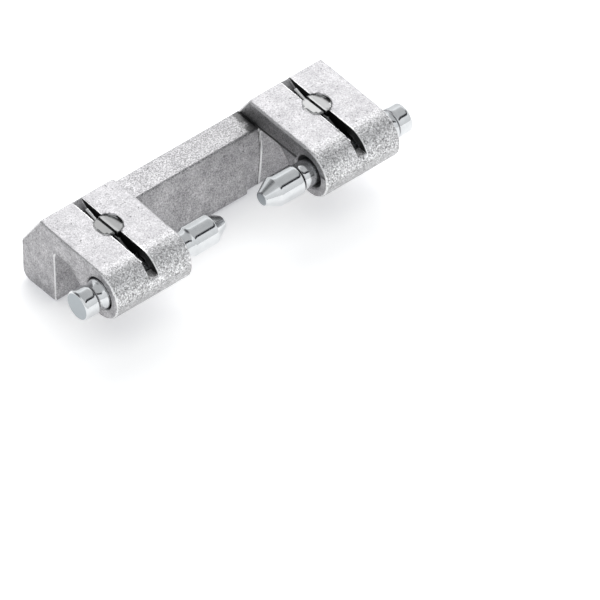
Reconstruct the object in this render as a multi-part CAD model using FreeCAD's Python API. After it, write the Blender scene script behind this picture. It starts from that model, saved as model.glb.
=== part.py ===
import FreeCAD, Part
import math
import os

# Frame half of a concealed lift-off hinge: one zinc casting with two ears, and a captive sliding pin in
# each ear. A spring wire in each ear's slot presses on its pin's neck.
# Units are millimetres. X runs along the hinge, +Y points to the back and +Z up. The origin lies on the
# back face, midway between the two fixing holes. "Forward" is the distance in front of the back face,
# along -Y, and "height" is measured from the foot.

# Casting, overall
body_length = 67.0
ear_width = 17.7
edge_radius = 0.45
edge_bevel = 0.35
outline_radius = 0.5

# Casting, back and foot
back_face_height = 9.0
top_back_forward = 5.4
foot_back_radius = 2.2
foot_front_radius = 0.8
leg_depth = 9.7

# Casting, notch under each arm
notch_height = 12.0
notch_corner_radius = 0.6
notch_slope_radius = 1.6
notch_slope_angle = 45.0

# Casting, knuckle round each pin
knuckle_forward = 22.3
knuckle_height = 11.2
knuckle_radius = 5.3
knuckle_drop = 0.6
mouth_chamfer = 0.3

# Casting, bar between the ears
bar_height = 12.6
bar_top_front = 8.3
bar_foot_front = 10.9
bar_recess_depth = 9.4
bar_recess_width = 4.6
bar_corner_radius = 1.0
leg_draft = 1.3
joint_overlap = 2.0

# Casting, slot across each ear and the punched mark that stakes the wire
slot_width = 2.0
slot_floor_drop = 0.6
slot_back_forward = 7.8
lead_in_start_depth = 0.15
lead_in_end_depth = 1.4
lead_in_length = 1.8
stake_forward = 14.0
stake_shift = 0.4
stake_radius = 2.7
stake_left_depth = 0.3
stake_middle_depth = 0.2
stake_right_depth = 0.85
stake_flat_half = 0.6
stake_gap = 0.45
lip_thickness = 0.8
lip_clearance = 0.1

# Casting, tapped fixing holes in the back
fixing_height = 5.0
fixing_spacing = 50.0
fixing_hole_radius = 2.1
fixing_hole_depth = 7.0
fixing_mouth_chamfer = 0.4
drill_point_angle = 118.0

# Pins
pin_radius = 3.0
pin_clearance = 0.3
bore_overrun = 1.0
neck_radius = 2.6
head_length = 3.1
head_stand_out = 5.1
collar_proud = 0.1
collar_length = 6.0
tip_gap = 9.4
tip_land_length = 5.3
cone_length = 2.9
tip_flat_radius = 1.4
neck_taper = 0.4
head_edge = 0.35
shoulder_edge = 0.25
tip_edge = 0.2

# Retaining wires
wire_radius = 0.4
wire_clearance = 0.05
wire_neck_clearance = 0.1
wire_tail_rise = 1.0
wire_tail_run = 3.2
wire_front_reach = 1.6
wire_bend_radius = 1.5

# Sizes that follow from those above
half_length = body_length / 2
gap_half = half_length - ear_width
ear_middle = half_length - ear_width / 2
ear_height = knuckle_height + knuckle_radius + knuckle_drop
tip_reach = gap_half - tip_gap / 2
bore_radius = pin_radius + pin_clearance
neck_top_height = knuckle_height + neck_radius
wire_front_height = neck_top_height + wire_neck_clearance + wire_radius
lip_height = ear_height - stake_middle_depth - lip_thickness
wire_held_height = lip_height - lip_clearance - wire_radius
wire_seat_height = wire_held_height - wire_radius - wire_clearance
slot_floor_height = neck_top_height - slot_floor_drop
step_forward = stake_forward + stake_radius
far = 2 * body_length
tolerance = 0.001


def place(x, forward, height):
    """Turn a place given along the hinge, forward of the back face and above the foot into a vector."""
    return FreeCAD.Vector(x, -forward, height - fixing_height)


def rounded_edges(corners, closed):
    """Join corners (forward, height, radius) in the plane x = 0 by straight edges with rounded corners."""
    count = len(corners)
    points = [place(0, forward, height) for forward, height, radius in corners]
    starts = list(points)
    ends = list(points)
    arcs = [None] * count
    for i in range(count):
        radius = corners[i][2]
        if radius <= 0:
            continue
        before = (points[i - 1] - points[i]).normalize()
        after = (points[(i + 1) % count] - points[i]).normalize()
        half_angle = before.getAngle(after) / 2
        reach = radius / math.tan(half_angle)
        to_centre = (before + after).normalize()
        middle = points[i] + to_centre * (radius / math.sin(half_angle) - radius)
        ends[i] = points[i] + before * reach
        starts[i] = points[i] + after * reach
        arcs[i] = Part.Arc(ends[i], middle, starts[i]).toShape()
    edges = []
    last = count if closed else count - 1
    for i in range(last):
        if arcs[i] is not None:
            edges.append(arcs[i])
        following = (i + 1) % count
        edges.append(Part.LineSegment(starts[i], ends[following]).toShape())
    return edges


def prism(edges, x_low, x_high):
    """Extrude a closed outline drawn in the plane x = 0 between two planes across the hinge."""
    face = Part.Face(Part.Wire(Part.__sortEdges__(edges)))
    face.translate(FreeCAD.Vector(x_low, 0, 0))
    return face.extrude(FreeCAD.Vector(x_high - x_low, 0, 0))


def block(x_low, x_high, forward_low, forward_high, height_low, height_high):
    """Make a box from its limits along the hinge, forward of the back and above the foot."""
    corner = place(x_low, forward_high, height_low)
    return Part.makeBox(x_high - x_low, forward_high - forward_low, height_high - height_low, corner)


def tangent_point(forward, height, side):
    """Find where a line from a point touches the knuckle: side 1 is the upper touch, -1 the lower."""
    run = forward - knuckle_forward
    rise = height - knuckle_height
    distance = math.hypot(run, rise)
    angle = math.atan2(rise, run) - side * math.acos(knuckle_radius / distance)
    touch_forward = knuckle_forward + knuckle_radius * math.cos(angle)
    touch_height = knuckle_height + knuckle_radius * math.sin(angle)
    return touch_forward, touch_height


def back_corners():
    """The foot's rear corner and the upright back face, which ears and bar share."""
    return [(0, 0, foot_back_radius), (0, back_face_height, outline_radius)]


def ear_outline():
    """Outline of an ear seen from the end: leg, arm, notch and knuckle."""
    slope = math.radians(notch_slope_angle)
    low_forward = knuckle_forward - knuckle_radius * math.sin(slope)
    low_height = knuckle_height - knuckle_radius * math.cos(slope)
    roof_front = low_forward - (notch_height - low_height) / math.tan(slope)
    high_forward, high_height = tangent_point(top_back_forward, ear_height, 1)
    corners = [
        (low_forward, low_height, 0),
        (roof_front, notch_height, notch_slope_radius),
        (leg_depth, notch_height, notch_corner_radius),
        (leg_depth, 0, foot_front_radius),
    ]
    corners += back_corners()
    corners += [(top_back_forward, ear_height, outline_radius), (high_forward, high_height, 0)]
    edges = rounded_edges(corners, False)
    nose = place(0, knuckle_forward + knuckle_radius, knuckle_height)
    high = place(0, high_forward, high_height)
    low = place(0, low_forward, low_height)
    edges.append(Part.Arc(high, nose, low).toShape())
    return edges


def chamfer_forward(height):
    """How far forward the sloping upper back lies at a height."""
    share = (height - back_face_height) / (ear_height - back_face_height)
    return top_back_forward * share


def bar_outline():
    """Outline of the middle of the bar, whose front leans forward down to its foot."""
    corners = back_corners()
    corners += [
        (chamfer_forward(bar_height), bar_height, edge_radius),
        (bar_top_front, bar_height, edge_radius),
        (bar_foot_front, 0, bar_corner_radius),
    ]
    return rounded_edges(corners, True)


def bevel_ends(solid, x_planes):
    """Break the cast edges of a prism round its two end faces."""
    edges = []
    for edge in solid.Edges:
        box = edge.BoundBox
        for x in x_planes:
            if abs(box.XMin - x) < tolerance and abs(box.XMax - x) < tolerance:
                edges.append(edge)
    return solid.makeChamfer(edge_bevel, edges)


def make_ear(side):
    """One ear with bevelled ends: side is -1 at the left and 1 at the right."""
    x_low = min(side * gap_half, side * half_length)
    x_high = max(side * gap_half, side * half_length)
    solid = prism(ear_outline(), x_low, x_high)
    return bevel_ends(solid, [x_low, x_high])


def make_leg_draft(side):
    """The wedge by which a leg's inner side leans into the gap towards the foot."""
    inner = side * gap_half
    root = inner + side * joint_overlap
    toe = inner - side * leg_draft
    points = [
        place(inner, 0, notch_height),
        place(toe, 0, 0),
        place(root, 0, 0),
        place(root, 0, notch_height),
    ]
    face = Part.Face(Part.makePolygon(points + [points[0]]))
    wedge = face.extrude(FreeCAD.Vector(0, -leg_depth, 0))
    return wedge.common(prism(ear_outline(), -half_length, half_length))


def make_bar():
    """The bar: its leaning front is cut back to an upright face beside each ear."""
    solid = prism(bar_outline(), -gap_half - joint_overlap, gap_half + joint_overlap)
    middle_half = gap_half - bar_recess_width
    for side in (-1, 1):
        x_low = min(side * middle_half, side * far)
        x_high = max(side * middle_half, side * far)
        cutter = block(x_low, x_high, bar_recess_depth, far, -far, far)
        solid = solid.cut(cutter)
    edges = []
    for edge in solid.Edges:
        box = edge.BoundBox
        on_step = abs(abs(box.XMin) - middle_half) < tolerance and box.XLength < tolerance
        if on_step and box.YMin < -bar_recess_depth - tolerance:
            edges.append(edge)
    return solid.makeChamfer(edge_bevel, edges)


def make_slot(side):
    """Slot across an ear: deep from the arm to the knuckle's nose, with a ramp down from the back edge."""
    middle = side * ear_middle
    left = middle - slot_width / 2
    right = middle + slot_width / 2
    deep = block(left, right, step_forward, far, slot_floor_height, far)
    held = block(left, right, slot_back_forward, step_forward, wire_seat_height, far)
    ramp_start = top_back_forward
    ramp_end = top_back_forward + lead_in_length
    corners = [
        (0, ear_height, 0),
        (ramp_start, ear_height - lead_in_start_depth, 0),
        (ramp_end, ear_height - lead_in_end_depth, 0),
        (slot_back_forward, wire_seat_height, 0),
        (step_forward, ear_height, 0),
    ]
    ramp = prism(rounded_edges(corners, True), left, right)
    above = block(left, right, -far, step_forward, ear_height, far)
    return deep.fuse([held, ramp, above])


def make_stake_lips(side):
    """Metal that the punch has driven into the slot over the wire."""
    middle = side * ear_middle
    foot = place(middle + stake_shift, stake_forward, lip_height)
    disc = Part.makeCylinder(stake_radius, ear_height - lip_height, foot)
    fill = block(middle - slot_width, middle + slot_width, 0, far, 0, ear_height)
    return disc.common(fill)


def make_stake_mark(side):
    """Round recess left by the punch: shallow by the slot, and deepest at its right rim."""
    middle = side * ear_middle
    centre = middle + stake_shift
    above = ear_height + stake_radius
    floor = place(centre, stake_forward, ear_height - stake_radius)
    disc = Part.makeCylinder(stake_radius, 2 * stake_radius, floor)
    points = [
        place(centre - stake_radius, 0, above),
        place(centre - stake_radius, 0, ear_height - stake_left_depth),
        place(middle - stake_flat_half, 0, ear_height - stake_middle_depth),
        place(middle + stake_flat_half, 0, ear_height - stake_middle_depth),
        place(centre + stake_radius, 0, ear_height - stake_right_depth),
        place(centre + stake_radius, 0, above),
    ]
    face = Part.Face(Part.makePolygon(points + [points[0]]))
    return disc.common(face.extrude(FreeCAD.Vector(0, -far, 0)))


def make_stake_gap(side):
    """The thin gap that stays open between the two staked lips."""
    middle = side * ear_middle
    reach = stake_radius + slot_width / 2
    return block(
        middle - stake_gap / 2,
        middle + stake_gap / 2,
        stake_forward - reach,
        stake_forward + reach,
        wire_seat_height,
        far,
    )


def make_bore(side):
    """Bore for one pin, with a small chamfer at both mouths."""
    inner = place(side * gap_half, knuckle_forward, knuckle_height)
    outward = FreeCAD.Vector(side, 0, 0)
    mouth_radius = bore_radius + mouth_chamfer
    start = inner - outward * bore_overrun
    bore = Part.makeCylinder(bore_radius, ear_width + 2 * bore_overrun, start, outward)
    inner_mouth = Part.makeCone(mouth_radius, bore_radius, mouth_chamfer, inner, outward)
    outer = inner + outward * ear_width
    outer_mouth = Part.makeCone(mouth_radius, bore_radius, mouth_chamfer, outer, outward * -1)
    return bore.fuse([inner_mouth, outer_mouth])


def make_fixing_hole(side):
    """Blind tapped hole in the back, with a drilled point and a chamfered mouth."""
    mouth = place(side * fixing_spacing / 2, 0, fixing_height)
    inward = FreeCAD.Vector(0, -1, 0)
    point_length = fixing_hole_radius / math.tan(math.radians(drill_point_angle / 2))
    hole = Part.makeCylinder(fixing_hole_radius, fixing_hole_depth, mouth, inward)
    point = Part.makeCone(
        fixing_hole_radius, 0, point_length, mouth + inward * fixing_hole_depth, inward
    )
    chamfer_radius = fixing_hole_radius + fixing_mouth_chamfer
    chamfer = Part.makeCone(chamfer_radius, fixing_hole_radius, fixing_mouth_chamfer, mouth, inward)
    return hole.fuse([point, chamfer])


def make_body():
    """The whole casting."""
    ears = [make_ear(-1), make_ear(1)]
    drafts = [make_leg_draft(-1), make_leg_draft(1)]
    solid = make_bar().fuse(ears + drafts).removeSplitter()
    for side in (-1, 1):
        solid = solid.cut(make_slot(side))
        solid = solid.fuse(make_stake_lips(side))
        solid = solid.cut([make_stake_mark(side), make_stake_gap(side)])
        solid = solid.cut([make_bore(side), make_fixing_hole(side)])
    return solid.removeSplitter()


def make_pin(side):
    """Turned pin, pointing into the gap: head, groove, collar, long neck, thicker end and a blunt cone."""
    total = head_stand_out + ear_width + tip_reach
    cone_start = total - cone_length
    land_start = cone_start - tip_land_length
    shoulder_radius = pin_radius - shoulder_edge
    collar_start = head_stand_out - collar_proud
    collar_end = collar_start + collar_length
    profile = [
        (0, 0),
        (0, pin_radius - head_edge),
        (head_edge, pin_radius),
        (head_length - shoulder_edge, pin_radius),
        (head_length, shoulder_radius),
        (head_length + neck_taper, neck_radius),
        (collar_start - neck_taper, neck_radius),
        (collar_start, pin_radius),
        (collar_end, pin_radius),
        (collar_end + neck_taper, neck_radius),
        (land_start - neck_taper, neck_radius),
        (land_start, shoulder_radius),
        (land_start + shoulder_edge, pin_radius),
        (cone_start, pin_radius),
        (total - tip_edge, tip_flat_radius + tip_edge / 2),
        (total, tip_flat_radius),
        (total, 0),
    ]
    outer_x = half_length + head_stand_out
    points = []
    for along, radius in profile:
        points.append(place(side * (outer_x - along), knuckle_forward, knuckle_height + radius))
    face = Part.Face(Part.makePolygon(points + [points[0]]))
    return face.revolve(points[0], FreeCAD.Vector(1, 0, 0), 360)


def make_wire(side):
    """Spring wire in the slot: its tail stands up behind the punched mark and its front lies on the neck."""
    middle = side * ear_middle
    tail = slot_back_forward + wire_radius + wire_clearance
    bend = step_forward + wire_bend_radius / 2
    corners = [
        (tail, wire_held_height + wire_tail_rise, 0),
        (tail + wire_tail_run, wire_held_height, wire_bend_radius),
        (bend, wire_held_height, wire_bend_radius),
        (knuckle_forward - wire_front_reach, wire_front_height, wire_bend_radius),
        (knuckle_forward + wire_front_reach, wire_front_height, 0),
    ]
    path = Part.Wire(rounded_edges(corners, False))
    start = path.Edges[0].valueAt(path.Edges[0].FirstParameter)
    direction = path.Edges[0].tangentAt(path.Edges[0].FirstParameter)
    section = Part.Wire(Part.makeCircle(wire_radius, start, direction))
    solid = path.makePipeShell([section], True, False)
    solid.translate(FreeCAD.Vector(middle, 0, 0))
    return solid


os.makedirs("parts", exist_ok=True)

shapes = {
    "hinge_body": make_body(),
    "left_pin": make_pin(-1),
    "right_pin": make_pin(1),
    "left_retaining_spring": make_wire(-1),
    "right_retaining_spring": make_wire(1),
}

for name, shape in shapes.items():
    shape.exportStep(f"parts/{name}.step")
    print(name, len(shape.Solids), round(shape.Volume, 1), shape.isValid())
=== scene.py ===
# %% [markdown]
# # Lift off hinge, frame half
# This is the half of a concealed hinge that is screwed to a cabinet's frame. It has five pieces: one zinc
# casting, two turned pins that slide in it, and two short spring wires that keep the pins from falling out.
# The measured solids of all five come in as a fixed frame. Each cell below makes one mesh, one finish or one
# part of the small photo studio around them.

# %% Load the measured frame
import math

import bmesh
import bpy
import numpy as np
from mathutils import Matrix, Vector, noise


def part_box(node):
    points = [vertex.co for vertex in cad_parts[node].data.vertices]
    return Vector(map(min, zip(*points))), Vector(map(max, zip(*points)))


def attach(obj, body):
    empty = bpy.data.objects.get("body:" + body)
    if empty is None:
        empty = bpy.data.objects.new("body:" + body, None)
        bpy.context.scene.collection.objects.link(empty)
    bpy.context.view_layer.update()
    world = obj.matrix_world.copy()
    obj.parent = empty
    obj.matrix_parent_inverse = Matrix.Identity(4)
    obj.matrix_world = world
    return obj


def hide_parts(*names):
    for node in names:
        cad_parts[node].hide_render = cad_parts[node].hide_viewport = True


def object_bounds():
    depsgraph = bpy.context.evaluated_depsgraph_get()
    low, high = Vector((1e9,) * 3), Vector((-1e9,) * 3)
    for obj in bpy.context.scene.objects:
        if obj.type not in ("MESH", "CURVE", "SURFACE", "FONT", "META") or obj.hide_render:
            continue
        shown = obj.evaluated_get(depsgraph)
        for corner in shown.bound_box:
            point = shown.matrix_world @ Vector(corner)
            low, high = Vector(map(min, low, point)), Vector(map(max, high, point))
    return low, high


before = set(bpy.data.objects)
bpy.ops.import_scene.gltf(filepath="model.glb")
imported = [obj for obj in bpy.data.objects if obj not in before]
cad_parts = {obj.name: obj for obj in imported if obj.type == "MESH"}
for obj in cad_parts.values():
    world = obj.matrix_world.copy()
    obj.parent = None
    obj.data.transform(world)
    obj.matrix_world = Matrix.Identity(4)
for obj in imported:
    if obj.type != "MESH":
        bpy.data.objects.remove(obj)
solid_box = [list(corner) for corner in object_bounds()]
print("nodes:", sorted(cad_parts))
print("box in mm:", [[round(1000 * v, 2) for v in corner] for corner in solid_box])

# %% [markdown]
# ## Where the camera stands
# Product photographs of small hardware are taken from far away through a long lens, so that parallel edges
# stay nearly parallel. The camera could be aimed by eye, but here its three angles, its distance and the
# size of a metre in the picture were worked out from the corners of the part, which is more exact.
# The part stands above and to the left of the picture's middle, so the camera aims beside it.

# %% Camera
MM = 0.001
picture_width = 600
sensor_width = 36.0

camera_turn = math.radians(-39.54)
camera_rise = math.radians(43.30)
camera_roll = math.radians(-1.01)
camera_distance = 1.852
pixels_per_metre = 5468.0
aim_right = 24.90 * MM
aim_down = 23.21 * MM

towards_camera = Vector((
    math.sin(camera_turn) * math.cos(camera_rise),
    -math.cos(camera_turn) * math.cos(camera_rise),
    math.sin(camera_rise),
))
level_right = Vector((math.cos(camera_turn), math.sin(camera_turn), 0))
level_up = towards_camera.cross(level_right)
picture_right = level_right * math.cos(camera_roll) + level_up * math.sin(camera_roll)
picture_up = level_up * math.cos(camera_roll) - level_right * math.sin(camera_roll)

camera_data = bpy.data.cameras.new("studio_camera")
camera_data.sensor_width = sensor_width
camera_data.lens = pixels_per_metre * camera_distance / picture_width * sensor_width
camera_data.clip_start = 0.1
camera_data.clip_end = 50
camera = bpy.data.objects.new("studio_camera", camera_data)
bpy.context.scene.collection.objects.link(camera)
camera_place = towards_camera * camera_distance + picture_right * aim_right - picture_up * aim_down
camera_turned = Matrix((picture_right, picture_up, towards_camera)).transposed().to_4x4()
camera.matrix_world = Matrix.Translation(camera_place) @ camera_turned
bpy.context.scene.camera = camera
print("lens in mm:", round(camera_data.lens, 1))

# %% [markdown]
# ## Small tools for node trees
# The sky and every finish below are trees of nodes. Nodes can be placed by hand in the editor, but written
# out they can be read and changed like any other code. These helpers set or join sockets and add a node.

# %% Helpers that add nodes


def set_inputs(tree, node, values):
    """Join each named input to a socket, or set it to a value."""
    for key, value in values.items():
        if isinstance(value, bpy.types.NodeSocket):
            tree.links.new(value, node.inputs[key])
        else:
            node.inputs[key].default_value = value


def add_node(tree, kind, inputs=None, **settings):
    node = tree.nodes.new(kind)
    for key, value in settings.items():
        setattr(node, key, value)
    set_inputs(tree, node, inputs or {})
    return node


def math_node(tree, operation, *values, clamp=False):
    node = add_node(tree, "ShaderNodeMath", dict(enumerate(values)), operation=operation, use_clamp=clamp)
    return node.outputs[0]


def parts(tree, vector):
    """The X, Y and Z parts of a vector."""
    return list(add_node(tree, "ShaderNodeSeparateXYZ", {"Vector": vector}).outputs)


print("basic node helpers ready")

# %% [markdown]
# ## Masks
# A mask is a number from 0 to 1 that says where something shows. Most masks here come from a place or a
# direction: a ramp grows between two values, a band lies round one value, and a product of masks shows only
# where all of them do. Colours are laid over each other by such masks, like thin coats of paint.

# %% Helpers for masks and colours


def ramp(tree, source, low, high):
    """A mask that grows from 0 at low to 1 at high, or falls where low is the larger value."""
    inputs = {"Value": source, "From Min": low, "From Max": high}
    return add_node(tree, "ShaderNodeMapRange", inputs, clamp=True).outputs["Result"]


def band(tree, source, centre, half, soft):
    """A mask that is 1 within half of a centre value and fades to 0 over the soft distance."""
    away = math_node(tree, "ABSOLUTE", math_node(tree, "SUBTRACT", source, centre))
    return ramp(tree, away, half + soft, half)


def product(tree, *shares):
    result = shares[0]
    for share in shares[1:]:
        result = math_node(tree, "MULTIPLY", result, share)
    return result


def total(tree, *values):
    result = values[0]
    for value in values[1:]:
        result = math_node(tree, "ADD", result, value)
    return result


def blend_colours(tree, share, first, second, mode="MIX"):
    """Mix two colours. A mix node keeps its colours in inputs 6 and 7, and the result in output 2."""
    node = add_node(tree, "ShaderNodeMix", data_type="RGBA", blend_type=mode)
    set_inputs(tree, node, {0: share, 6: first, 7: second})
    return node.outputs[2]


def grey(level):
    return (level, level, level, 1)


def grey_coats(tree, tone, coats):
    """Lay coats of grey over a tone, each given as its mask and its level."""
    for share, level in coats:
        tone = blend_colours(tree, share, tone, grey(level))
    return tone


print("mask and colour helpers ready")

# %% [markdown]
# ## Soft light
# Bare zinc and plated steel show mostly what they reflect, so the size and place of each light matter more
# than its power. The surroundings are a pale sky that changes with height. It is brightest at the height
# that the level top faces mirror into the camera, and darker overhead. The upright faces reflect the pale
# table instead and come out a middle grey.

# %% Surroundings
scene = bpy.context.scene
scene.view_settings.view_transform = "Standard"
scene.view_settings.look = "None"

world = bpy.data.worlds.new("studio")
world.use_nodes = True
scene.world = world
sky = world.node_tree
direction = add_node(sky, "ShaderNodeTexCoord").outputs["Generated"]
sky_height = parts(sky, direction)[2]

sky_levels = [
    (0.0, 0.85), (0.48, 0.97), (0.60, 1.05), (0.622, 1.2),
    (0.70, 1.1), (0.75, 0.72), (0.86, 0.62), (1.0, 0.6),
]
cool_tint = (0.97, 0.985, 1.0)
bands = add_node(sky, "ShaderNodeValToRGB", {"Fac": sky_height})
while len(bands.color_ramp.elements) < len(sky_levels):
    bands.color_ramp.elements.new(0.5)
for element, (position, level) in zip(bands.color_ramp.elements, sky_levels):
    element.position = position
    element.color = [level * tint for tint in cool_tint] + [1]
print("sky levels:", len(bands.color_ramp.elements))

# %% [markdown]
# ## Dark cards
# Bright metal looks like metal only when it also mirrors something dark. Photographers stand black cards
# beside the part for that. Here each card is a soft-edged dark patch in the surroundings: a long narrow one
# high in front draws the dark line along the pins, and a round one behind on the left darkens one side of
# every rounded edge.

# %% Cards in the surroundings
card_colour = (0.03, 0.03, 0.035, 1)


def sky_patch(towards, inner, outer):
    """A mask that is 1 within an angle of a direction and falls to 0 at a wider angle, both in degrees."""
    ends = {0: direction, 1: Vector(towards).normalized()}
    nearness = add_node(sky, "ShaderNodeVectorMath", ends, operation="DOT_PRODUCT").outputs["Value"]
    return ramp(sky, nearness, math.cos(math.radians(outer)), math.cos(math.radians(inner)))


def sky_edge(height, sharpness):
    """A mask of the sky above a height, or below it where the sharpness is negative."""
    return math_node(sky, "MULTIPLY_ADD", sky_height, sharpness, -height * sharpness, clamp=True)


in_front = sky_patch((0.46, -0.60, 0.65), 30, 45)
line_card = product(sky, sky_edge(0.612, 100.0), sky_edge(0.80, -16.0), in_front)
side_card = product(sky, sky_patch((-0.62, 0.58, 0.53), 15, 33), 0.9)
cards = math_node(sky, "MAXIMUM", line_card, side_card)
sky_colour = blend_colours(sky, cards, bands.outputs["Color"], card_colour)
set_inputs(sky, sky.nodes["Background"], {"Color": sky_colour, "Strength": 1.0})
print("surroundings:", len(sky.nodes), "nodes")

# %% [markdown]
# ## The lamp
# One wide lamp stands behind the part on the right. Its mirror image falls on the level top faces, which is
# why they are the brightest, and it throws the soft shadow towards the front.

# %% Lamp
lamp_place = Vector((0.44, 0.62, 0.66))
lamp_data = bpy.data.lights.new("back_softbox", "AREA")
lamp_data.shape = "RECTANGLE"
lamp_data.size = 0.95
lamp_data.size_y = 0.62
lamp_data.energy = 5.35
lamp = bpy.data.objects.new("back_softbox", lamp_data)
scene.collection.objects.link(lamp)
lamp.location = lamp_place
lamp.rotation_mode = "QUATERNION"
lamp.rotation_quaternion = lamp_place.to_track_quat("Z", "Y")
print("lamp distance in m:", round(lamp_place.length, 2))

# %% [markdown]
# ## Effects shared by several finishes
# Grain, the masks for painted edge highlights and painted hollow shade, and tool rings are effects that more
# than one material can use, so each is built once as a node group with named inputs and outputs. All of them
# measure in millimetres from the part's own origin, and so no surface needs to be unwrapped, and the pattern
# runs over every edge without a seam.

# %% Helpers for groups and places


def start_group(name, inputs, outputs):
    tree = bpy.data.node_groups.new(name, "ShaderNodeTree")
    for label, value in inputs.items():
        socket = tree.interface.new_socket(label, in_out="INPUT", socket_type="NodeSocketFloat")
        socket.default_value = value
    for label, kind in outputs.items():
        tree.interface.new_socket(label, in_out="OUTPUT", socket_type="NodeSocket" + kind)
    return tree, tree.nodes.new("NodeGroupInput"), tree.nodes.new("NodeGroupOutput")


def use_group(tree, group, inputs):
    node = add_node(tree, "ShaderNodeGroup", node_tree=group)
    set_inputs(tree, node, inputs)
    return node.outputs


def place_on_part(tree):
    """Where a point lies on the part, in millimetres."""
    place = add_node(tree, "ShaderNodeTexCoord").outputs["Object"]
    scaled = add_node(tree, "ShaderNodeVectorMath", {0: place, "Scale": 1 / MM}, operation="SCALE")
    return scaled.outputs["Vector"]


def noise_at(tree, place, size, detail, roughness, distortion=0.0):
    """Soft noise whose spots have a size in millimetres."""
    inputs = {
        "Vector": place,
        "Scale": math_node(tree, "DIVIDE", 1.0, size),
        "Detail": detail,
        "Roughness": roughness,
        "Distortion": distortion,
    }
    return add_node(tree, "ShaderNodeTexNoise", inputs).outputs["Fac"]


print("group helpers ready")

# %% [markdown]
# ## Grain of a casting
# Zinc is shot into a steel mould under pressure, and the skin that comes out is not smooth. It has fine
# grain, small pits, and soft clouds where the metal cooled unevenly. The grain could be painted as an image,
# but noise at several sizes gives the same look on every side. The group gives out the height of the grain
# and masks of its bright flecks, its dark specks and pits, and its clouds.

# %% Group: cast grain
cast_grain, inside, out = start_group(
    "cast_grain",
    {"Grain Size": 0.3, "Cloud Size": 3.0, "Coarse Share": 0.0},
    {"Height": "Float", "Pits": "Float", "Clouds": "Float", "Fleck": "Float", "Specks": "Float"},
)
place = place_on_part(cast_grain)
grain_size = inside.outputs["Grain Size"]
coarse_size = product(cast_grain, grain_size, 1.9)
pit_size = 0.42
speck_size = 0.2

fine = noise_at(cast_grain, place, grain_size, 2.0, 0.6)
coarse = noise_at(cast_grain, place, coarse_size, 3.0, 0.7, 1.2)
coarse_share = product(cast_grain, inside.outputs["Coarse Share"], 0.5)
grain_height = add_node(cast_grain, "ShaderNodeMix", {0: coarse_share, 2: fine, 3: coarse}).outputs[0]
pits = ramp(cast_grain, noise_at(cast_grain, place, pit_size, 2.0, 0.5, 0.5), 0.655, 0.72)
specks = ramp(cast_grain, noise_at(cast_grain, place, speck_size, 1.0, 0.5), 0.64, 0.70)
cloud_noise = noise_at(cast_grain, place, inside.outputs["Cloud Size"], 4.0, 0.55)
set_inputs(cast_grain, out, {
    "Height": math_node(cast_grain, "SUBTRACT", grain_height, product(cast_grain, pits, 0.5)),
    "Pits": pits,
    "Clouds": ramp(cast_grain, cloud_noise, 0.35, 0.68),
    "Fleck": ramp(cast_grain, grain_height, 0.36, 0.64),
    "Specks": specks,
})
print("group:", cast_grain.name, len(cast_grain.nodes), "nodes")

# %% [markdown]
# ## Painted edge highlights and painted hollow shade
# The edge mask says where proud edges get a painted highlight, and the hollow mask says where slots and inner
# corners get painted shade. The edge mask compares the true surface direction with one that is averaged over
# a
# third of a millimetre: they differ only beside an edge. The hollow mask asks how much open space a point
# sees.
# The group also gives out a softened direction, which rounds sharp edges in the light.

# %% Group: edges and hollows
highlight_and_shade_masks, inside, out = start_group(
    "highlight_and_shade_masks",
    {"Hollow Low": 0.35, "Hollow High": 0.75},
    {"Edge": "Float", "Hollow": "Float", "Soft Normal": "Vector"},
)
soft_radius = 0.18 * MM
wide_radius = 0.35 * MM
hollow_reach = 2.2 * MM

soft_normal = add_node(highlight_and_shade_masks, "ShaderNodeBevel", {"Radius": soft_radius}, samples=6).outputs["Normal"]
wide_normal = add_node(highlight_and_shade_masks, "ShaderNodeBevel", {"Radius": wide_radius}, samples=8).outputs["Normal"]
true_normal = add_node(highlight_and_shade_masks, "ShaderNodeNewGeometry").outputs["Normal"]
both_normals = {0: wide_normal, 1: true_normal}
likeness = add_node(highlight_and_shade_masks, "ShaderNodeVectorMath", both_normals, operation="DOT_PRODUCT")
# Edge mask for the painted highlights.
edge = ramp(highlight_and_shade_masks, likeness.outputs["Value"], 0.99, 0.93)
# Hollow mask for the painted shade in slots and corners.
open_space = add_node(
    highlight_and_shade_masks, "ShaderNodeAmbientOcclusion", {"Distance": hollow_reach}, samples=10, only_local=True
)
openness = ramp(
    highlight_and_shade_masks, open_space.outputs["AO"], inside.outputs["Hollow Low"], inside.outputs["Hollow High"]
)
set_inputs(highlight_and_shade_masks, out, {
    "Edge": product(highlight_and_shade_masks, edge, openness),
    "Hollow": math_node(highlight_and_shade_masks, "SUBTRACT", 1.0, openness),
    "Soft Normal": soft_normal,
})
print("group:", highlight_and_shade_masks.name, len(highlight_and_shade_masks.nodes), "nodes")

# %% [markdown]
# ## Raw cast zinc
# The casting is not painted. It is a pale grey metal with a satin skin: rough enough to have no clear mirror
# image, but still metal, so its brightness follows the light. The knuckles came out coarser than the rest,
# as the metal cools last there, and the bar's top is given a darker tone than the tops of the ears, which
# grows towards the right. So the finish first has to know where on the casting it is, which it tells by place
# and by the way the surface faces.

# %% Regions of the casting
pin_axis_y = -22.3
pin_axis_z = 6.2
bore_mouth_radius = 3.9


def start_material(name):
    material = bpy.data.materials.new(name)
    material.use_nodes = True
    tree = material.node_tree
    return material, tree, tree.nodes["Principled BSDF"]


def facing(tree):
    """How far the surface faces along X, Y and Z, either way, each from 0 to 1."""
    normal = add_node(tree, "ShaderNodeNewGeometry").outputs["Normal"]
    return [math_node(tree, "ABSOLUTE", part) for part in parts(tree, normal)]


def distance(tree, vector, point):
    ends = {0: vector, 1: point}
    return add_node(tree, "ShaderNodeVectorMath", ends, operation="DISTANCE").outputs["Value"]


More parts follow.
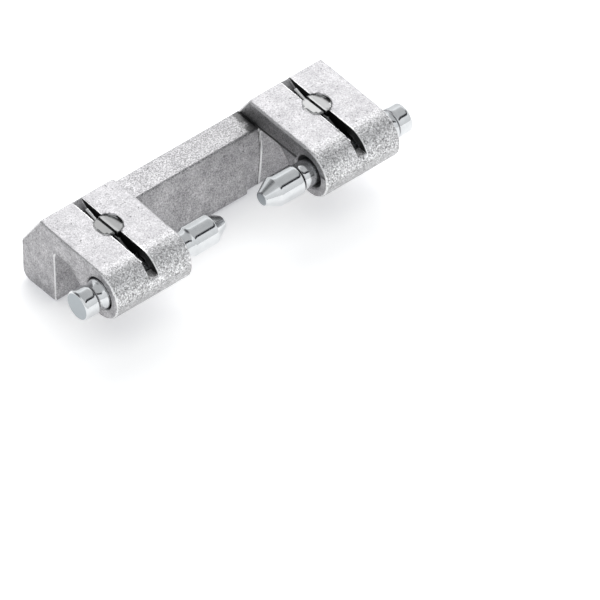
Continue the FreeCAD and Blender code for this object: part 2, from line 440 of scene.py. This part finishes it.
raw_zinc, tree, skin = start_material("raw_zinc")
across, depth, rise = parts(tree, place_on_part(tree))
from_middle = math_node(tree, "ABSOLUTE", across)
side_facing, front_facing, top_facing = facing(tree)
upright_share = ramp(tree, top_facing, 0.85, 0.5)
knuckle_share = product(tree, ramp(tree, depth, -21.5, -24.5), ramp(tree, side_facing, 0.9, 0.6))
lower_share = product(tree, ramp(tree, rise, 6.6, 5.6), knuckle_share)
bar_top_share = product(tree, ramp(tree, from_middle, 16.1, 15.5), ramp(tree, rise, 6.9, 7.5))
print("regions of the casting are told apart by place and direction")

# %% [markdown]
# ## The bevelled rims
# The edges round each ear's end faces are bevelled at 45 degrees, and they get a painted highlight. A surface
# at
# 45 degrees faces along X by 0.707, so a band round that number finds them. The bores have such bevels too,
# but they are sheltered and get no painted highlight, so the ring near the pin is left out.

# %% Mask of the rims
bevel_facing = 0.707
beside_pin = add_node(tree, "ShaderNodeCombineXYZ", {"Y": depth, "Z": rise}).outputs["Vector"]
pin_distance = distance(tree, beside_pin, (0, pin_axis_y, pin_axis_z))
outside_bore = ramp(tree, pin_distance, bore_mouth_radius - 0.1, bore_mouth_radius + 0.1)
# Rims that get a painted highlight.
rim_share = product(tree, band(tree, side_facing, bevel_facing, 0.12, 0.1), outside_bore)
print("rim mask ready")

# %% [markdown]
# ## The punched mark and the slot
# A round punch pressed the metal flat where it stakes the wire, so its mark is smooth, without the grain
# around it, and mirrors a duller part of the surroundings. The slot's walls see little light, so they get a
# nearly black painted shade. Both masks follow the distance from the slot's middle in each ear.

# %% Masks of the mark and the slot
slot_middle = 24.65
mark_shift = 0.4
mark_depth = -14.0
mark_radius = 2.7

slot_centre = product(tree, math_node(tree, "SIGN", across), slot_middle)
from_slot = math_node(tree, "SUBTRACT", across, slot_centre)
beside_slot = add_node(tree, "ShaderNodeCombineXYZ", {"X": from_slot, "Y": depth}).outputs["Vector"]
mark_reach = distance(tree, beside_slot, (mark_shift, mark_depth, 0))
near_top = ramp(tree, rise, 10.6, 10.9)
mark_share = product(tree, ramp(tree, mark_reach, mark_radius + 0.06, mark_radius - 0.04), near_top)
mark_wall = product(tree, ramp(tree, mark_reach, mark_radius + 0.5, mark_radius + 0.2), near_top)
plain_share = math_node(tree, "SUBTRACT", 1.0, mark_share)
above_pin = ramp(tree, rise, 7.4, 7.8)
in_slot = ramp(tree, math_node(tree, "ABSOLUTE", from_slot), 1.14, 1.08)
# Mask of the slot's nearly black painted shade.
slot_shade_share = product(tree, in_slot, ramp(tree, side_facing, 0.5, 0.7), above_pin)
print("mark and slot masks ready")

# %% [markdown]
# ## Mould lines and painted lines
# Where two parts of the mould meet, a casting has a fine raised line, and one runs along each knuckle's nose.
# Beside each leg a painted shade line and a painted highlight line mark the step between the leg and the bar,
# a painted crease shade runs along each end of the bar's top, and a painted shade lies on the bar's top
# beside each ear. They are drawn as bands round a known place. The line beside a leg leans, since the leg's
# inner side does.

# %% Masks of the lines
leg_edge = 15.04
leg_slope = 0.1083
bar_end = 15.66
bar_top_rise = 7.6

beside_leg = math_node(tree, "SUBTRACT", from_middle, product(tree, rise, leg_slope))
leg_height = ramp(tree, rise, 7.2, 6.6)
leg_depth = product(tree, ramp(tree, depth, -12.0, -11.0), ramp(tree, depth, -7.6, -8.2))
leg_wall = product(tree, leg_height, leg_depth)
leg_front = product(tree, ramp(tree, front_facing, 0.6, 0.8), leg_wall)
# Painted shade in the corner beside each leg, and a painted highlight on the leg's edge.
leg_shade_line = product(tree, band(tree, beside_leg, leg_edge - 0.12, 0.07, 0.06), leg_front)
leg_highlight_line = product(tree, band(tree, beside_leg, leg_edge + 0.09, 0.07, 0.06), leg_front)
nose_line = product(tree, band(tree, rise, pin_axis_z, 0.05, 0.06), knuckle_share)
# Painted crease shade where the bar's top meets each ear.
at_bar_end = band(tree, from_middle, bar_end, 0.16, 0.06)
bar_end_crease_shade = product(tree, at_bar_end, band(tree, rise, bar_top_rise, 0.25, 0.1))
right_weight = math_node(tree, "MULTIPLY_ADD", ramp(tree, across, -5.0, 5.0), 0.5, 0.45)
print("line masks ready")

# %% [markdown]
# ## The zinc's own tone
# The tone starts from two greys that follow the clouds. Then each region gets its own coat: the knuckles
# lighter, their undersides and the bar's top darker. At last it is multiplied by a speckle, which is
# strongest where the grain is coarse and is missing in the punched mark.

# %% Tone and speckle of raw zinc
cloud_dark = (0.385, 0.379, 0.389, 1)
cloud_light = (0.47, 0.462, 0.472, 1)
grain = use_group(tree, cast_grain, {"Grain Size": 0.30, "Cloud Size": 2.6, "Coarse Share": knuckle_share})
highlight_and_shade = use_group(tree, highlight_and_shade_masks, {"Hollow Low": 0.36, "Hollow High": 0.78})

# A darker tone on the bar's top, growing towards the right.
bar_top_darkening = product(tree, bar_top_share, math_node(tree, "MULTIPLY_ADD", across, 0.01, 0.35))
tone = blend_colours(tree, grain["Clouds"], cloud_dark, cloud_light)
tone = grey_coats(tree, tone, [
    (product(tree, knuckle_share, 0.52), 0.80),
    (product(tree, lower_share, 0.25), 0.30),
    (bar_top_darkening, 0.22),
])

contrast = total(
    tree,
    0.36,
    product(tree, upright_share, 0.2),
    product(tree, knuckle_share, 0.95),
    product(tree, lower_share, -0.6),
    product(tree, bar_top_share, 0.45),
)
fleck_offset = product(tree, math_node(tree, "SUBTRACT", grain["Fleck"], 0.5), contrast, plain_share)
cloud_offset = product(tree, math_node(tree, "SUBTRACT", grain["Clouds"], 0.5), 0.14, upright_share)
speckle = total(tree, 1.0, fleck_offset, cloud_offset)
tone = blend_colours(tree, 1.0, tone, speckle, "MULTIPLY")
print("tone of raw zinc ready")

# %% [markdown]
# ## Pits, marks, painted shade and painted highlights
# Pits and specks are dark, since they hold dust. The punched marks are duller than the skin around them, and
# the right ear's mark is the brighter of the two. A dark ring of painted shade lies on the wall round each
# mark, stronger on its right side. The edges get painted highlights, the brightest tone of all. On the slot's
# right lip the painted highlight is laid only near the front, which a ramp along the depth sees to.

# %% Coats of pits, marks, painted shade and painted highlights
right_lobe = ramp(tree, from_slot, -0.1, 0.1)
left_ear_mark = blend_colours(tree, right_lobe, grey(0.165), grey(0.20))
right_ear_mark = blend_colours(tree, right_lobe, grey(0.26), grey(0.30))
mark_tone = blend_colours(tree, ramp(tree, across, -1.0, 1.0), left_ear_mark, right_ear_mark)
# Painted shade on the wall round each punched mark, stronger on its right side.
mark_shade_weight = math_node(tree, "MULTIPLY_ADD", ramp(tree, from_slot, 0.0, 1.5), 0.6, 0.3)
mark_wall_shade = product(tree, band(tree, mark_reach, mark_radius + 0.04, 0.04, 0.06), mark_wall, mark_shade_weight)

# Painted highlight on the slot's right lip.
slot_lip_highlight = product(tree, band(tree, from_slot, 1.16, 0.1, 0.08), ramp(tree, depth, -19.0, -22.0))
slot_lip_highlight = product(tree, slot_lip_highlight, above_pin, ramp(tree, side_facing, 0.7, 0.5))
# Painted highlights on edges and rims.
clean_edge = product(tree, highlight_and_shade["Edge"], math_node(tree, "SUBTRACT", 1.0, mark_wall))
known_rims = product(tree, math_node(tree, "MAXIMUM", rim_share, slot_lip_highlight), 0.9)
edge_highlight_share = math_node(tree, "MAXIMUM", clean_edge, known_rims)

tone = grey_coats(tree, tone, [(product(tree, grain["Pits"], 0.7, plain_share), 0.10)])
tone = blend_colours(tree, mark_share, tone, mark_tone)
tone = grey_coats(tree, tone, [
    (mark_wall_shade, 0.05),
    (product(tree, edge_highlight_share, 0.8), 0.92),
    (product(tree, grain["Specks"], 0.6, plain_share), 0.12),
])
print("pits, marks and wear laid over the zinc")

# %% [markdown]
# ## The mould line, painted lines and painted shade
# The last coats are the knuckles' mould line, a painted shade on the bar's top beside each ear, the painted
# crease shade at the bar's ends, the legs' painted shade and highlight lines, and painted shade in the
# hollows and in the slot. The nose line is broken up by the grain. The painted hollow shade is held back
# beside the legs' lines and in the punched marks.

# %% Coats of the mould line, painted lines and painted shade
broken = ramp(tree, grain["Fleck"], 0.75, 0.35)
# Painted shade on the bar's top beside each ear, stronger towards the right.
bar_top_shade_reach = total(tree, ramp(tree, from_middle, 12.2, 15.4), product(tree, grain["Clouds"], 0.45))
bar_top_shade = product(tree, ramp(tree, bar_top_shade_reach, 0.82, 0.92), bar_top_share, right_weight, 0.85)
# Places where the painted hollow shade is held back.
beside_line = product(tree, band(tree, beside_leg, 15.1, 0.8, 0.2), leg_wall)
unshaded_share = math_node(tree, "MAXIMUM", mark_wall, beside_line)
hollow_shade_weight = math_node(tree, "MULTIPLY_ADD", unshaded_share, -0.65, 0.95)
tone = grey_coats(tree, tone, [
    (product(tree, nose_line, broken, 0.75), 0.10),
    (bar_top_shade, 0.07),
    (product(tree, bar_end_crease_shade, right_weight, 0.95), 0.02),
    (product(tree, leg_shade_line, 0.75), 0.06),
    (product(tree, leg_highlight_line, 0.7), 0.85),
    (product(tree, highlight_and_shade["Hollow"], hollow_shade_weight), 0.02),
    (product(tree, slot_shade_share, 0.9), 0.03),
])
print("stains, lines and hollows laid over the zinc")

# %% [markdown]
# ## Shine and relief of the zinc
# The skin is satin, and smoother on the edges that carry the painted highlight and in the punched marks. The
# grain is real relief on the casting, but at less than a tenth of a millimetre it would take millions of
# faces as a mesh, so a bump node tilts the light on it instead. It is weaker away from the knuckles and
# nearly gone in the punched marks.

# %% Material: raw zinc
grain_depth = 0.09 * MM


def bump(tree, height, strength, depth_of_bump, normal):
    inputs = {"Height": height, "Strength": strength, "Distance": depth_of_bump, "Normal": normal}
    return add_node(tree, "ShaderNodeBump", inputs).outputs["Normal"]


smoother = math_node(tree, "MAXIMUM", edge_highlight_share, mark_share)
strength = product(
    tree,
    math_node(tree, "MULTIPLY_ADD", knuckle_share, 0.35, 0.65),
    math_node(tree, "MULTIPLY_ADD", mark_share, -0.9, 1.0),
)
set_inputs(tree, skin, {
    "Base Color": tone,
    "Roughness": math_node(tree, "MULTIPLY_ADD", smoother, -0.14, 0.50),
    "Metallic": 1.0,
    "Normal": bump(tree, grain["Height"], strength, grain_depth, highlight_and_shade["Soft Normal"]),
})
print("material:", raw_zinc.name, len(tree.nodes), "nodes")

# %% [markdown]
# ## Lathe rings
# The pins are turned on a lathe, and the tool leaves fine rings round the axis. The rings follow the distance
# along the pin, which is the X direction of the whole part, so noise in one dimension is enough for them.
# Rolling about in the plating drum adds small dents, and the plating itself is a little streaky.

# %% Group: lathe rings
lathe_rings, inside, out = start_group(
    "lathe_rings",
    {"Ring Size": 0.12},
    {"Height": "Float", "Streaks": "Float"},
)
dent_size = 2 / 3
streak_size = 2.0
place = place_on_part(lathe_rings)
along = parts(lathe_rings, place)[0]
ring_scale = math_node(lathe_rings, "DIVIDE", 1.0, inside.outputs["Ring Size"])
ring_inputs = {"W": along, "Scale": ring_scale, "Detail": 3.0, "Roughness": 0.65}
ring_noise = add_node(lathe_rings, "ShaderNodeTexNoise", ring_inputs, noise_dimensions="1D").outputs["Fac"]
dents = product(lathe_rings, noise_at(lathe_rings, place, dent_size, 2.0, 0.5), 0.15)
streak_noise = noise_at(lathe_rings, place, streak_size, 3.0, 0.6)
set_inputs(lathe_rings, out, {
    "Height": total(lathe_rings, ring_noise, dents),
    "Streaks": ramp(lathe_rings, streak_noise, 0.36, 0.66),
})
print("group:", lathe_rings.name, len(lathe_rings.nodes), "nodes")

# %% [markdown]
# ## Bright plated steel
# After turning, the pins are plated with bright zinc. It mirrors almost sharply along the sides. The faces
# cut square across the bar at both ends stay rougher and look darker and a little blue.

# %% Material: bright plated steel
plating_dark = (0.66, 0.675, 0.685, 1)
plating_light = (0.72, 0.73, 0.738, 1)
cut_end_colour = (0.38, 0.41, 0.43, 1)
ring_depth = 0.01 * MM

plated_steel, tree, skin = start_material("plated_steel")
rings = use_group(tree, lathe_rings, {"Ring Size": 0.2})
highlight_and_shade = use_group(tree, highlight_and_shade_masks, {"Hollow Low": 0.1, "Hollow High": 0.4})
cut_end_share = ramp(tree, facing(tree)[0], 0.9, 0.97)
tone = blend_colours(tree, rings["Streaks"], plating_dark, plating_light)
tone = blend_colours(tree, cut_end_share, tone, cut_end_colour)
# A light coat on the pins' edges is a painted highlight.
tone = grey_coats(tree, tone, [(product(tree, highlight_and_shade["Edge"], 0.4), 0.92)])
set_inputs(tree, skin, {
    "Base Color": tone,
    "Roughness": math_node(tree, "MULTIPLY_ADD", cut_end_share, 0.22, 0.10),
    "Metallic": 1.0,
    "Normal": bump(tree, rings["Height"], 0.42, ring_depth, highlight_and_shade["Soft Normal"]),
})
print("material:", plated_steel.name)

# %% [markdown]
# ## Spring wire
# Drawn wire is plain bright steel with faint streaks. Down in the slot it gets the same dark painted shade
# as the walls, and only its back end, in the open ramp, and its very tip are left to catch the light.

# %% Material: spring wire
spring_steel, tree, skin = start_material("spring_steel")
rings = use_group(tree, lathe_rings, {"Ring Size": 0.3})
wire_depth = parts(tree, place_on_part(tree))[1]
# Painted shade on the wire down in the slot.
wire_slot_shade = product(tree, ramp(tree, wire_depth, -15.0, -16.2), ramp(tree, wire_depth, -21.6, -21.0), 0.9)
tone = blend_colours(tree, rings["Streaks"], grey(0.6), grey(0.75))
set_inputs(tree, skin, {
    "Base Color": grey_coats(tree, tone, [(wire_slot_shade, 0.04)]),
    "Roughness": math_node(tree, "MULTIPLY_ADD", rings["Streaks"], 0.1, 0.25),
    "Metallic": 1.0,
})
print("material:", spring_steel.name)

# %% [markdown]
# ## The casting
# A casting's faces are never quite flat and its edges are never quite straight. The measured solid has the
# exact form, but its flat faces have no points inside, so they can't be bent. Its surface is therefore copied
# into a new mesh and cut into small cells by planes along each axis. Remeshing by voxels would be shorter to
# write, but it would round off every edge.

# %% Copy of a node, cut into cells
cell = 0.55 * MM
merge_distance = 0.0005 * MM
cell_merge_distance = 0.002 * MM
plane_tolerance = 0.0002 * MM
flat_angle = math.radians(0.3)


def cut_into_cells(shape, low, high, size):
    for axis in (0, 2, 1):
        normal = Vector((0, 0, 0))
        normal[axis] = 1
        count = round((high[axis] - low[axis]) / size)
        for k in range(1, count):
            level = low[axis] + (high[axis] - low[axis]) * k / count
            pieces = shape.verts[:] + shape.edges[:] + shape.faces[:]
            bmesh.ops.bisect_plane(
                shape, geom=pieces, plane_co=normal * level, plane_no=normal, dist=plane_tolerance
            )


def gridded_copy(node, name, size):
    """Copy a node's surface, merge its flat facets and cut it into small cells."""
    shape = bmesh.new()
    shape.from_mesh(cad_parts[node].data)
    bmesh.ops.remove_doubles(shape, verts=shape.verts, dist=merge_distance)
    bmesh.ops.dissolve_limit(shape, angle_limit=flat_angle, verts=shape.verts, edges=shape.edges)
    low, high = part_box(node)
    cut_into_cells(shape, low, high, size)
    bmesh.ops.remove_doubles(shape, verts=shape.verts, dist=cell_merge_distance)
    bmesh.ops.triangulate(shape, faces=[face for face in shape.faces if len(face.verts) > 4])
    shape.normal_update()
    mesh = bpy.data.meshes.new(name)
    shape.to_mesh(mesh)
    shape.free()
    return mesh


casting_mesh = gridded_copy("hinge_body", "zinc_casting", cell)
print("casting points:", len(casting_mesh.vertices))

# %% [markdown]
# ## Legs that lean back
# Beside the bar, the front of each leg lies nearly flush with the bar's front, so that a single fine line
# runs from the bar's top corner down to the foot. The bar's front leans back towards its top, and therefore
# the leg's front has to lean back with it there. Each point is moved by a weight that is full at the leg's
# inner edge and fades out smoothly around it.

# %% Lean the legs back
leg_front_forward = 9.7
leg_step = 0.3
lean_reach = 4.0
fade_forward = 0.9
fade_rise = 0.55
edge_margin = 0.03
bar_top_forward = 8.3
bar_front_slope = 2.6 / 12.6
bar_recess_forward = 9.4


def lean_weight(across, forward, rise, bar_front):
    """How much of the lean a point takes, from 0 to 1: all arguments are in millimetres."""
    beside = across - leg_edge - leg_slope * rise
    if beside < -edge_margin or beside > lean_reach:
        return 0
    if rise > bar_top_rise or forward < bar_front or forward > leg_front_forward + fade_forward:
        return 0
    near = beside / lean_reach
    weight = 1 - near * near * (3 - 2 * near)
    weight *= min(1.0, (bar_top_rise - rise) / fade_rise)
    if forward <= leg_front_forward:
        return weight * (forward - bar_front) / (leg_front_forward - bar_front)
    return weight * (1 - (forward - leg_front_forward) / fade_forward)


def lean_back_legs(mesh):
    moved = 0
    for vertex in mesh.vertices:
        forward = -vertex.co.y / MM
        rise = vertex.co.z / MM
        bar_front = min(bar_top_forward + (bar_top_rise - rise) * bar_front_slope, bar_recess_forward)
        lean = leg_front_forward - bar_front - leg_step
        if lean > 0:
            weight = lean_weight(abs(vertex.co.x) / MM, forward, rise, bar_front)
            vertex.co.y += lean * weight * MM
            moved += weight > 0
    mesh.update()
    return moved


print("points moved on the legs:", lean_back_legs(casting_mesh))

# %% [markdown]
# ## Soft corners
# The ears' upper corners at the back come out of the mould rounder than the other corners. A ball-shaped
# bevel would do it in a modelling session. In code it is simpler to draw each point near the corner towards
# its neighbours a few times, which melts the corner down.

# %% Round off the ears' back corners
corner_reach = 1.5 * MM
corner_rounds = 3
corner_depth = -5.4
corner_rise = 12.1
ear_ends = (-33.5, -15.8, 15.8, 33.5)


def soften_corners(mesh, places, reach, rounds):
    """Draw each point near one of the places towards its neighbours."""
    shape = bmesh.new()
    shape.from_mesh(mesh)
    near = [v for v in shape.verts if min((v.co - corner).length for corner in places) < reach]
    for _ in range(rounds):
        bmesh.ops.smooth_vert(
            shape, verts=near, factor=0.5, use_axis_x=True, use_axis_y=True, use_axis_z=True
        )
    shape.to_mesh(mesh)
    shape.free()
    return len(near)


back_corners = [Vector((x, corner_depth, corner_rise)) * MM for x in ear_ends]
softened = soften_corners(casting_mesh, back_corners, corner_reach, corner_rounds)
print("points softened at the ears' corners:", softened)

# %% [markdown]
# ## Waves in the skin
# The last step moves every point inwards by a few hundredths of a millimetre, with slow noise for the waves
# and quicker noise for the unevenness on them. Sculpting by hand would do it too, but this keeps the size:
# as all points move inwards, the skin never grows past the measured solid.

# %% Roughen the skin
wave_depth = 0.05 * MM
uneven_depth = 0.02 * MM
wave_scale = 0.28
uneven_scale = 1.1
wave_offset = Vector((5, 9, 2))
uneven_offset = Vector((1, 3, 8))


def mesh_vectors(mesh, field):
    """One vector for each point of a mesh, as rows of a table."""
    values = np.zeros(len(mesh.vertices) * 3)
    mesh.vertices.foreach_get(field, values)
    return values.reshape(-1, 3)


def roughen(mesh, wave, uneven):
    places = mesh_vectors(mesh, "co")
    directions = mesh_vectors(mesh, "normal")
    sink = np.zeros(len(places))
    for i, p in enumerate(places):
        spot = Vector(p) / MM
        slow = noise.noise(spot * wave_scale + wave_offset)
        quick = noise.noise(spot * uneven_scale + uneven_offset)
        sink[i] = wave * (0.5 + 0.5 * slow) + uneven * (0.5 + 0.5 * quick)
    mesh.vertices.foreach_set("co", (places - directions * sink[:, None]).ravel())
    mesh.update()
    return sink.max()


deepest = roughen(casting_mesh, wave_depth, uneven_depth)
print("deepest point of the skin in mm:", round(deepest / MM, 3))

# %% [markdown]
# ## The casting takes its place
# Smooth shading hides the small cells, and edges sharper than 38 degrees stay crisp. The mesh then stands
# for the measured casting and rides on the hinge's fixed half.

# %% Casting
casting_crease = math.radians(38)
casting_mesh.shade_smooth()
casting_mesh.set_sharp_from_angle(angle=casting_crease)
casting_mesh.materials.append(raw_zinc)
casting = bpy.data.objects.new("zinc_casting", casting_mesh)
scene.collection.objects.link(casting)
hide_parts("hinge_body")
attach(casting, "frame_half")
print("casting faces:", len(casting_mesh.polygons))

# %% [markdown]
# ## Profile of a pin
# A turned part is a profile spun round an axis, so that is how it is made here: a list of places along the
# pin with a radius at each, in millimetres. It starts with a head and has then a thin neck, a collar that
# guides it in the bore, the long neck that the wire rests on, and the thicker end with its cone. Every corner
# has a small bevel, as the lathe leaves it, and the necks start with a hollow corner.

# %% Pin profile


def hollow_corner(start, end, steps=5):
    """Points of a concave corner from a shoulder's edge (along, radius) down to the neck."""
    points = []
    for k in range(steps + 1):
        turn = math.pi / 2 * k / steps
        along = start[0] + (end[0] - start[0]) * (1 - math.cos(turn))
        radius = start[1] - (start[1] - end[1]) * math.sin(turn)
        points.append((along, radius))
    return points


head = [
    (0.0, 0.0), (0.0, 2.3), (0.0, 2.62), (0.04, 2.72), (0.30, 2.96), (0.38, 3.0),
    (0.8, 3.0), (2.3, 3.0), (2.8, 3.0), (2.9, 2.97), (3.05, 2.84),
]
flare = [(3.8, 2.6), (4.1, 2.62), (4.4, 2.69), (4.7, 2.83), (4.9, 2.94)]
collar = [(5.03, 3.0), (5.4, 3.0), (8.0, 3.0), (10.9, 3.0), (10.97, 2.98)]
neck = [(14.0, 2.6), (20.0, 2.6), (24.9, 2.6), (25.3, 2.61), (25.5, 2.66)]
thick_end = [
    (25.75, 2.86), (25.9, 2.97), (26.0, 3.0), (26.4, 3.0), (30.5, 3.0), (30.94, 3.0), (31.02, 2.98),
    (31.1, 2.93),
]
cone = [(33.62, 1.53), (33.75, 1.45), (33.86, 1.38), (33.9, 1.3), (33.9, 0.9), (33.9, 0.0)]

pin_profile = head + hollow_corner((3.1, 2.77), (3.5, 2.6)) + flare
pin_profile += collar + hollow_corner((11.0, 2.95), (11.4, 2.6)) + neck
pin_profile += thick_end + cone
print("profile points:", len(pin_profile))

# %% [markdown]
# ## Spinning the profile
# Each point of the profile becomes a ring of points round the axis, and neighbouring rings are joined by
# four-sided faces. A point on the axis itself stays single and closes the end with a fan of triangles. A
# screw modifier would spin it as well, but rings made in code need no clean-up on the axis.

# %% Turn a profile
around = 96
pin_crease = math.radians(50)


def ring_of_points(shape, x, radius):
    if radius == 0:
        return [shape.verts.new((x, pin_axis_y * MM, pin_axis_z * MM))]
    ring = []
    for k in range(around):
        angle = 2 * math.pi * k / around
        y = (pin_axis_y + radius * math.cos(angle)) * MM
        z = (pin_axis_z + radius * math.sin(angle)) * MM
        ring.append(shape.verts.new((x, y, z)))
    return ring


def join_rings(shape, first, second):
    for k in range(around):
        following = (k + 1) % around
        if len(first) == 1:
            shape.faces.new((first[0], second[k], second[following]))
        elif len(second) == 1:
            shape.faces.new((first[following], first[k], second[0]))
        else:
            shape.faces.new((first[following], first[k], second[k], second[following]))


def turned(name, profile, start_x, direction):
    shape = bmesh.new()
    rings = [ring_of_points(shape, start_x + direction * along * MM, radius) for along, radius in profile]
    for first, second in zip(rings, rings[1:]):
        join_rings(shape, first, second)
    bmesh.ops.recalc_face_normals(shape, faces=shape.faces)
    mesh = bpy.data.meshes.new(name)
    shape.to_mesh(mesh)
    shape.free()
    mesh.shade_smooth()
    mesh.set_sharp_from_angle(angle=pin_crease)
    mesh.materials.append(plated_steel)
    piece = bpy.data.objects.new(name, mesh)
    scene.collection.objects.link(piece)
    return piece


print("points in each ring:", around)

# %% [markdown]
# ## The two pins
# Both pins have the same profile, and the right one is turned end for end, so each head is on the outside.
# The pins mirror the pale surroundings alone. The lamp leaves them out by light linking, or its image would
# burn out to white on such a shiny surface.

# %% Pins
unlit = bpy.data.collections.new("pins_without_lamp")
for side, direction in (("left", 1), ("right", -1)):
    low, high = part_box(side + "_pin")
    start_x = low.x if direction > 0 else high.x
    pin = turned(side + "_turned_pin", pin_profile, start_x, direction)
    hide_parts(side + "_pin")
    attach(pin, side + "_sliding_pin")
    unlit.objects.link(pin)
    unlit.collection_objects[-1].light_linking.link_state = "EXCLUDE"
    print(pin.name, "faces:", len(pin.data.polygons))

lamp.light_linking.receiver_collection = unlit

# %% [markdown]
# ## The spring wires
# Each wire is a short length of round spring wire. It is clamped in the slot under the punched mark, and its
# front end rests on the thin neck of the pin, so the pin's shoulders can't pass it. The measured wire
# already has its true bends and its round section, so it keeps its form and only gets its finish.

# %% Finish of the wires
for side in ("left", "right"):
    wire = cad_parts[side + "_retaining_spring"]
    wire.data.materials.clear()
    wire.data.materials.append(spring_steel)
    print(wire.name, "keeps its measured form")

# %% [markdown]
# ## The table
# The part stands on its foot on a pale, matt table. The table is not part of the hinge. A trace of noise in
# its colour keeps it from being a dead flat white, and it is darkened close under the part, where little
# light gets in. It also glows faintly, like paper lit from below, and so it comes out as white as the page.

# %% Table
table_half = 3.0
table_height = solid_box[0][2]
shadow_reach = 8 * MM
shadow_colour = (0.66, 0.665, 0.68, 1)

table_mesh = bpy.data.meshes.new("table")
corners = [(x * table_half, y * table_half, table_height) for x, y in ((-1, -1), (1, -1), (1, 1), (-1, 1))]
table_mesh.from_pydata(corners, [], [(0, 1, 2, 3)])
table = bpy.data.objects.new("table", table_mesh)
scene.collection.objects.link(table)

pale_table, tree, skin = start_material("pale_table")
mottle = noise_at(tree, place_on_part(tree), 50 / 3, 3.0, 0.5)
tone = blend_colours(tree, mottle, grey(0.86), grey(0.89))
above = add_node(tree, "ShaderNodeAmbientOcclusion", {"Distance": shadow_reach}, samples=10)
open_floor = ramp(tree, above.outputs["AO"], 0.45, 0.95)
tone = blend_colours(tree, open_floor, shadow_colour, tone)
set_inputs(tree, skin, {
    "Base Color": tone,
    "Emission Color": tone,
    "Emission Strength": 0.5,
    "Roughness": 0.7,
})
table_mesh.materials.append(pale_table)
print("table height in mm:", round(table_height / MM, 2))
